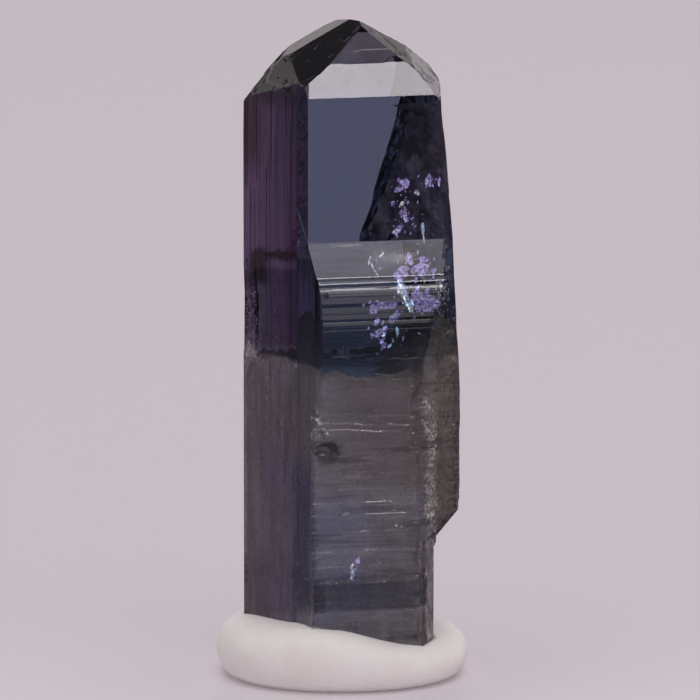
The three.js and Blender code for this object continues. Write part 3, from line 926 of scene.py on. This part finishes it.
def shards(name, rows, seed, a, b, rough=.3, power=.55):
    """Single larger scales carrying painted glint emission: view position, depth below the front, length, width, lean
    from upright in degrees.
    """
    rows = np.array(rows, float)
    c = []
    for x, y, v, *_ in rows:
        c.append(seen(x, y, v + front_skin(x, y)))
    lean = np.radians(rows[:, 5])
    across = np.array([math.cos(YAW), math.sin(YAW), 0])
    along = np.sin(lean)[:, None] * across + np.cos(lean)[:, None] * np.array([0, 0, 1.0])
    rng = np.random.RandomState(seed)
    n = np.array(way(0)) + .12 * rng.randn(len(c), 3)
    return flakes(name, np.array(c), n, along, rows[:, 3] * 1.5, rows[:, 4] * 1.5, np.full(len(c), .008), seed,
                  paint_glint(plain_scale(name + "_painted_glint", tuple(.22 * c for c in a), b, rough, 7.0), a, b, power), 13)


shards("shard_violet", [(403, 185, .30, .42, .30, 20), (427, 182, .30, .50, .24, 12), (438, 183, .25, .40, .09, 5),
                        (397, 190, .32, .26, .20, 60), (404, 216, .35, .50, .18, -20), (397, 230, .33, .40, .16, 50),
                        (410, 266, .22, .95, .80, 75), (421, 270, .22, .60, .50, 20), (400, 275, .24, .60, .45, 40),
                        (424, 302, .20, .62, .85, 0), (416, 296, .22, .40, .35, 30), (386, 306, .22, .70, .30, 85),
                        (374, 308, .20, .50, .34, 10), (377, 333, .22, .40, .26, 70), (383, 346, .2, .32, .18, 30),
                        (356, 562, .2, .50, .22, 20), (393, 318, .25, .5, .3, 40)],
       1501, (.32, .21, .62), (.62, .53, .95))
shards("shard_blue", [(422, 229, .22, .50, .12, -6), (415, 193, .25, .20, .14, 30), (402, 288, .26, .62, .18, -22),
                      (408, 303, .26, .66, .18, -20), (404, 295, .27, .5, .2, -24), (397, 332, .18, .32, .10, 0), (428, 258, .18, .55, .11, -18),
                      (432, 274, .16, .50, .10, -8), (352, 574, .15, .45, .16, 8)],
       1601, (.22, .40, .80), (.62, .80, 1.0))
# shard_core and shard_spark: the brightest painted glints, at emission 1.9 and 2.6
shards("shard_core", [(399, 284, .28, .30, .14, -22), (401, 289, .30, .36, .18, -26), (403, 294, .30, .36, .20, -20),
                      (405, 299, .30, .38, .20, -24), (407, 304, .30, .34, .18, -20), (409, 309, .30, .26, .12, -22),
                      (397, 291, .32, .26, .10, -10), (411, 303, .32, .24, .10, -30), (383, 334, .3, .22, .10, 20),
                      (396, 330, .3, .26, .09, 0), (389, 345, .3, .20, .10, 30)],
       1651, (.20, .30, .85), (.50, .68, 1.0), power=1.9)
shards("shard_spark", [(400, 287, .22, .20, .07, -20), (403, 297, .22, .26, .07, -24), (406, 303, .22, .24, .06, -20),
                       (408, 308, .22, .16, .07, -20), (398, 293, .22, .14, .06, 0)],
       1671, (.60, .70, .95), (.95, .97, 1.0), power=2.6)
# shard_low: painted glint at emission 1.5
shards("shard_low", [(424, 300, .30, .40, .40, 10), (432, 303, .30, .34, .30, 60), (417, 306, .30, .30, .34, 30),
                     (438, 297, .30, .26, .24, 0), (428, 309, .30, .40, .16, 80), (385, 305, .30, .50, .22, 80),
                     (373, 311, .30, .30, .26, 20), (376, 322, .30, .26, .20, 60), (384, 328, .30, .22, .18, 30),
                     (371, 335, .30, .22, .16, 0), (381, 341, .30, .22, .16, 40)],
       1691, (.30, .20, .62), (.58, .46, .95), power=1.5)
# shard_white: pale scales with painted glint, among them a row of painted highlights along the notch's slanted edge
shards("shard_white", [(399, 292, .22, .50, .09, -20), (405, 296, .22, .62, .08, -22), (411, 309, .22, .30, .08, -20),
                       (369, 262, .16, .34, .06, 15), (372, 268, .16, .40, .06, -15), (381, 256, .16, .26, .08, 40),
                       (386, 266, .17, .44, .05, 20), (376, 274, .17, .30, .05, -30), (430, 266, .14, .60, .05, -14),
                       (423, 240, .18, .34, .06, -8), (401, 204, .25, .16, .14, 0), (417, 194, .22, .14, .10, 0),
                       (352, 565, .12, .22, .10, 30), (394, 232, .25, .2, .1, 60), (311, 410, .18, .36, .05, 143), (318, 420, .18, .36, .06, 143),
                       (326, 431, .18, .40, .05, 143), (334, 441, .18, .34, .06, 143), (317, 430, .18, .26, .07, 90),
                       (318, 437, .18, .22, .05, 90), (304, 414, .18, .26, .10, 90)],
       1701, (.74, .74, .80), (.95, .95, 1.0))


# stains and frosting just under the skin, by where they show from the front
def seen_at(p):
    return 342.5 + p[:, 0] / .04, 672 - (p[:, 2] * .9816 + p[:, 1] * .1908) / .04


def window(a, lo, hi, soft):
    return step(lo - soft, lo + soft, a) * step(hi + soft, hi - soft, a)


def patch_scales(name, count, seed, where, facing, lo, hi, ratio, depth, tone_a, tone_b, upright_axis=True, rough=.5, spread=.8):
    d = np.array(way(facing))

    def accept(p, n):
        x, y = seen_at(p)
        ragged = 6 * (fbm(x * .12, y * .09, seed + 9, 3) - .5)
        return (n @ d > spread) * np.clip(where(x + ragged, y + ragged), 0, 1)
    p, n = on_skin(count, seed, accept)
    rng = np.random.RandomState(seed + 1)
    size = np.exp(rng.uniform(math.log(lo), math.log(hi), len(p)))
    deep = depth * (.5 + rng.rand(len(p)))
    along = (np.array([0, 0, 1.0]) if upright_axis else np.cross(n, [0, 0, 1.0])) + .2 * rng.randn(len(p), 3)
    return flakes(name, p - n * deep[:, None], n + .08 * rng.randn(len(p), 3), along, size, size * ratio * rng.uniform(.6, 1.3, len(p)),
                  np.full(len(p), .006), seed + 2, plain_scale(name + "_tone", tone_a, tone_b, rough, 2.0).mat, 6)


patch_scales("edge_frost", 200000, 1901,
             lambda x, y: .95 * window(x + .10 * (330 - y), 243, 257, 4) * window(y, 288, 362, 8) + .3 * window(x, 262, 274, 4) * window(y, 366, 412, 6)
             + .5 * window(x, 284, 300, 3) * window(y, 362, 369, 2) + .25 * window(x, 274, 278, 1) * window(y, 286, 358, 4)
             + .05 * window(x, 244, 296, 5) * window(y, 372, 600, 10),
             -PRISM, .05, .18, .35, .05, (.60, .55, .57), (.98, .95, .97), spread=.7)
patch_scales("rim_frost", 220000, 2001,
             lambda x, y: 1.0 * window(x, 425, 435, 4) * window(y, 398, 534, 10) + .6 * window(x, 437, 447, 2) * window(y, 283, 314, 4)
             + .35 * window(x, 300, 325, 6) * window(y, 408, 436, 6),
             0, .05, .20, .45, .04, (.44, .40, .385), (.98, .95, .94))
patch_scales("strip_frost", 120000, 2051, lambda x, y: .8 * window(y, 536, 650, 6),
             PRISM, .10, .50, .35, .07, (.50, .455, .46), (.86, .82, .83), spread=.95)
patch_scales("right_edge", 260000, 2071, lambda x, y: .9 * window(x, 440, 464, 3) * window(y, 322, 514, 8),
             75, .05, .19, .5, .05, (.34, .275, .24), (.56, .48, .43), spread=.5)
patch_scales("right_brown", 260000, 2101,
             lambda x, y: .8 * window(x, 436, 464, 4) * window(y, 316, 520, 14),
             0, .06, .20, .5, .05, (.20, .15, .125), (.31, .245, .21))


# ---------------------------------------------------------------- floor, light, camera
floor = mesh_object("floor", [(-3, -3, 0), (3, -3, 0), (3, 3, 0), (-3, 3, 0)], [(0, 1, 2, 3)])
k = Nodes("floor_paper")
aside = k.math("ABSOLUTE", k.axis("X"))
y = k.axis("Y")
# painted light falloff: the floor colour is palest in front, darker and more lavender behind, and much darker far to
# both sides
tone = k.mix(k.ramp(y, -20, 14), (.84, .79, .83), (.72, .655, .71))
tone = k.mix(k.ramp(aside, 30, 110), tone, (.46, .42, .45))
k.link(tone, k.bsdf.inputs["Base Color"])
k.bsdf.inputs["Roughness"].default_value = .42
k.bsdf.inputs["Specular IOR Level"].default_value = .3
floor.data.materials.append(k.mat)
floor.visible_glossy = False

world = bpy.data.worlds.new("studio")
scene.world = world
world.use_nodes = True
wt = world.node_tree
bg = wt.nodes["Background"]
coord = wt.nodes.new("ShaderNodeTexCoord")
sep = wt.nodes.new("ShaderNodeSeparateXYZ")
wt.links.new(coord.outputs["Generated"], sep.inputs[0])
ramp = wt.nodes.new("ShaderNodeValToRGB")
lift = wt.nodes.new("ShaderNodeMapRange")
lift.inputs["From Min"].default_value = -1.0
wt.links.new(sep.outputs["Z"], lift.inputs["Value"])
wt.links.new(lift.outputs["Result"], ramp.inputs[0])
for pos, col in ((0.0, (.03, .028, .03)), (.485, (.04, .037, .04)), (.5, (.74, .68, .72)), (.69, (.70, .63, .64)), (.78, (.12, .11, .12)), (1.0, (.07, .065, .07))):
    e = ramp.color_ramp.elements[0] if pos == 0.0 else (ramp.color_ramp.elements[-1] if pos == 1.0 else ramp.color_ramp.elements.new(pos))
    e.position = pos
    e.color = (*col, 1)
wt.links.new(ramp.outputs[0], bg.inputs["Color"])
bg.inputs["Strength"].default_value = 1.0

def softbox(name, aim, distance, size, radiance):
    light = bpy.data.lights.new(name, "AREA")
    light.shape = "DISK"
    light.size = size
    light.energy = radiance * math.pi * (math.pi * (size / 2) ** 2)
    light.color = (1.0, .935, .975)
    light.use_shadow = False
    lamp = bpy.data.objects.new(name, light)
    scene.collection.objects.link(lamp)
    aim = Vector(aim).normalized()
    lamp.location = Vector((0, 0, .02)) + aim * distance
    lamp.rotation_euler = aim.to_track_quat("Z", "Y").to_euler()
    return lamp


softbox("softbox", (.29, -.52, .80), .55, .31, 1.35)
softbox("softbox_core", (.301, -.49, .815), .50, .125, 4.5)

fill = bpy.data.lights.new("overhead", "AREA")
fill.shape = "DISK"
fill.size = 1.3
fill.energy = 5.5
overhead = bpy.data.objects.new("overhead", fill)
scene.collection.objects.link(overhead)
overhead.location = (0, .1, .9)
overhead.visible_glossy = False
overhead.visible_transmission = False

cam = bpy.data.cameras.new("camera")
cam.sensor_width = 36.0
CAM_DIST = .45
cam.lens = 36.0 * CAM_DIST / .028
cam.clip_start, cam.clip_end = .01, 20.0
eye = bpy.data.objects.new("camera", cam)
scene.collection.objects.link(eye)
elev = math.radians(11.0)
back = Vector((0, -math.cos(elev), math.sin(elev)))
eye.location = Vector((.0003, 0, .01312)) + back * CAM_DIST
eye.rotation_euler = back.to_track_quat("Z", "Y").to_euler()
scene.camera = eye

scene.view_settings.view_transform = "Standard"
scene.cycles.max_bounces = 24
scene.cycles.transmission_bounces = 20
scene.cycles.glossy_bounces = 12
scene.cycles.transparent_max_bounces = 16
scene.cycles.caustics_refractive = True
scene.cycles.caustics_reflective = True

# ---------------------------------------------------------------- frame
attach(crystal, "root")
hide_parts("crystal")
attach(putty, "root")
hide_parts("putty_base")

for piece in inclusions:
    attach(piece, "root")
